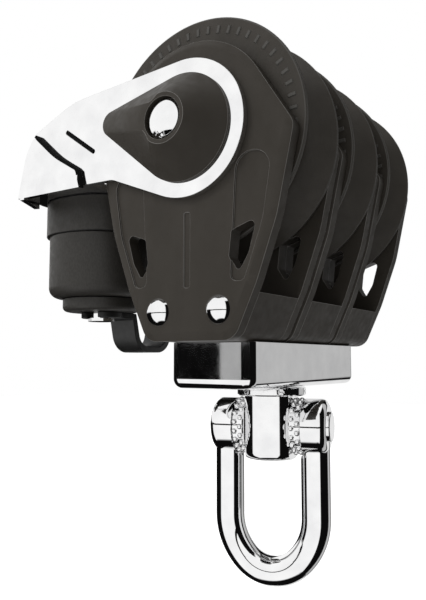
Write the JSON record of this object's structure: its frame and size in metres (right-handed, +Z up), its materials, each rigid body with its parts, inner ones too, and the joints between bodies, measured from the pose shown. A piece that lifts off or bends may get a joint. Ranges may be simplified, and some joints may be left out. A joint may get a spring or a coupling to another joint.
{
  "type": "sheave block with cam cleat",
  "caption": "Ball-bearing sheave block with side-by-side rope sheaves, a swivel shackle below and a spring-loaded cam cleat on two side arms.",
  "frame": {"origin": "centre of the middle sheave, on the axle's centre line", "axes": "+Z up, from the shackle toward the sheaves; +Y along the axle; +X away from the cam cleat"},
  "size_m": [0.0928, 0.1022, 0.1458],
  "materials": {
    "black_nylon": "moulded fibre-filled nylon, satin",
    "sheave_resin": "moulded, turned rims",
    "ball_acetal": "white acetal",
    "polished_steel": "mirror-polished stainless steel",
    "turned_steel": "machined stainless steel",
    "cleat_composite": "carbon-filled composite, fine satin",
    "black_strap": "black-coated stainless strap"
  },
  "bodies": {
    "frame": {"cheek_1_front": "black_nylon", "cheek_1_rear": "black_nylon", "cheek_2_front": "black_nylon", "cheek_2_rear": "black_nylon", "cheek_3_front": "black_nylon", "cheek_3_rear": "black_nylon", "base_block_1": "black_nylon", "base_block_2": "black_nylon", "base_block_3": "black_nylon", "hub_cap_front": "black_nylon", "hub_cap_rear": "black_nylon", "swivel_bush": "ball_acetal", "cam_bushes": "ball_acetal", "arm_front": "polished_steel", "arm_rear": "polished_steel", "cleat_tray": "polished_steel", "axle_screws": "polished_steel", "tie_bolts": "polished_steel", "tie_nuts": "polished_steel", "yoke": "polished_steel", "cam_bolts": "polished_steel", "cam_nuts": "polished_steel", "axle": "turned_steel", "inner_race_1": "turned_steel", "inner_race_2": "turned_steel", "inner_race_3": "turned_steel", "hanger_front": "turned_steel", "hanger_rear": "turned_steel", "cam_spring_front": "turned_steel", "cam_spring_rear": "turned_steel", "cleat_base": "cleat_composite", "cam_cap_front": "cleat_composite", "cam_cap_rear": "cleat_composite", "fairlead": "black_strap"},
    "swivel": {"swivel_post": "polished_steel", "swivel_collar": "polished_steel", "collar_set_screw": "turned_steel", "swivel_nut": "polished_steel"},
    "swivel_balls": {"thrust_balls": "polished_steel"},
    "shackle": {"shackle_bow": "polished_steel", "shackle_pin": "polished_steel", "washer_left": "polished_steel", "washer_right": "polished_steel"},
    "cam_front": {"cam_front": "cleat_composite"},
    "cam_rear": {"cam_rear": "cleat_composite"},
    "sheave_1": {"sheave_1": "sheave_resin"},
    "balls_1": {"balls_1": "ball_acetal"},
    "sheave_2": {"sheave_2": "sheave_resin"},
    "balls_2": {"balls_2": "ball_acetal"},
    "sheave_3": {"sheave_3": "sheave_resin"},
    "balls_3": {"balls_3": "ball_acetal"}
  },
  "joints": [
    {"name": "sheave_1_spin", "type": "hinge", "parent": "frame", "child": "sheave_1", "pos_m": [0, -0.0274, 0], "axis": [0, 1, 0], "continuous": true},
    {"name": "balls_1_spin", "type": "hinge", "parent": "frame", "child": "balls_1", "pos_m": [0, -0.0274, 0], "axis": [0, 1, 0], "continuous": true},
    {"name": "sheave_2_spin", "type": "hinge", "parent": "frame", "child": "sheave_2", "pos_m": [0, 0, 0], "axis": [0, 1, 0], "continuous": true},
    {"name": "balls_2_spin", "type": "hinge", "parent": "frame", "child": "balls_2", "pos_m": [0, 0, 0], "axis": [0, 1, 0], "continuous": true},
    {"name": "sheave_3_spin", "type": "hinge", "parent": "frame", "child": "sheave_3", "pos_m": [0, 0.0274, 0], "axis": [0, 1, 0], "continuous": true},
    {"name": "balls_3_spin", "type": "hinge", "parent": "frame", "child": "balls_3", "pos_m": [0, 0.0274, 0], "axis": [0, 1, 0], "continuous": true},
    {"name": "swivel_turn", "type": "hinge", "parent": "frame", "child": "swivel", "pos_m": [0, 0, -0.06], "axis": [0, 0, 1], "continuous": true},
    {"name": "swivel_balls_turn", "type": "hinge", "parent": "frame", "child": "swivel_balls", "pos_m": [0, 0, -0.0583], "axis": [0, 0, 1], "continuous": true},
    {"name": "shackle_swing", "type": "hinge", "parent": "swivel", "child": "shackle", "pos_m": [0, 0, -0.073], "axis": [0.9744, 0.225, 0], "range_deg": [-95, 95]},
    {"name": "cam_front_open", "type": "hinge", "parent": "frame", "child": "cam_front", "pos_m": [-0.0474, -0.019, -0.027], "axis": [0, 0, 1], "range_deg": [0, 38], "stiffness_Nm_per_rad": 0.08, "springref_deg": -28.65},
    {"name": "cam_rear_open", "type": "hinge", "parent": "frame", "child": "cam_rear", "pos_m": [-0.0474, 0.019, -0.027], "axis": [0, 0, -1], "range_deg": [0, 38], "stiffness_Nm_per_rad": 0.08, "springref_deg": -28.65}
  ],
  "couplings": [
    {"joint": "balls_1_spin", "follows": "sheave_1_spin", "ratio": 0.5928},
    {"joint": "balls_2_spin", "follows": "sheave_2_spin", "ratio": 0.5928},
    {"joint": "balls_3_spin", "follows": "sheave_3_spin", "ratio": 0.5928},
    {"joint": "swivel_balls_turn", "follows": "swivel_turn", "ratio": 0.5}
  ]
}
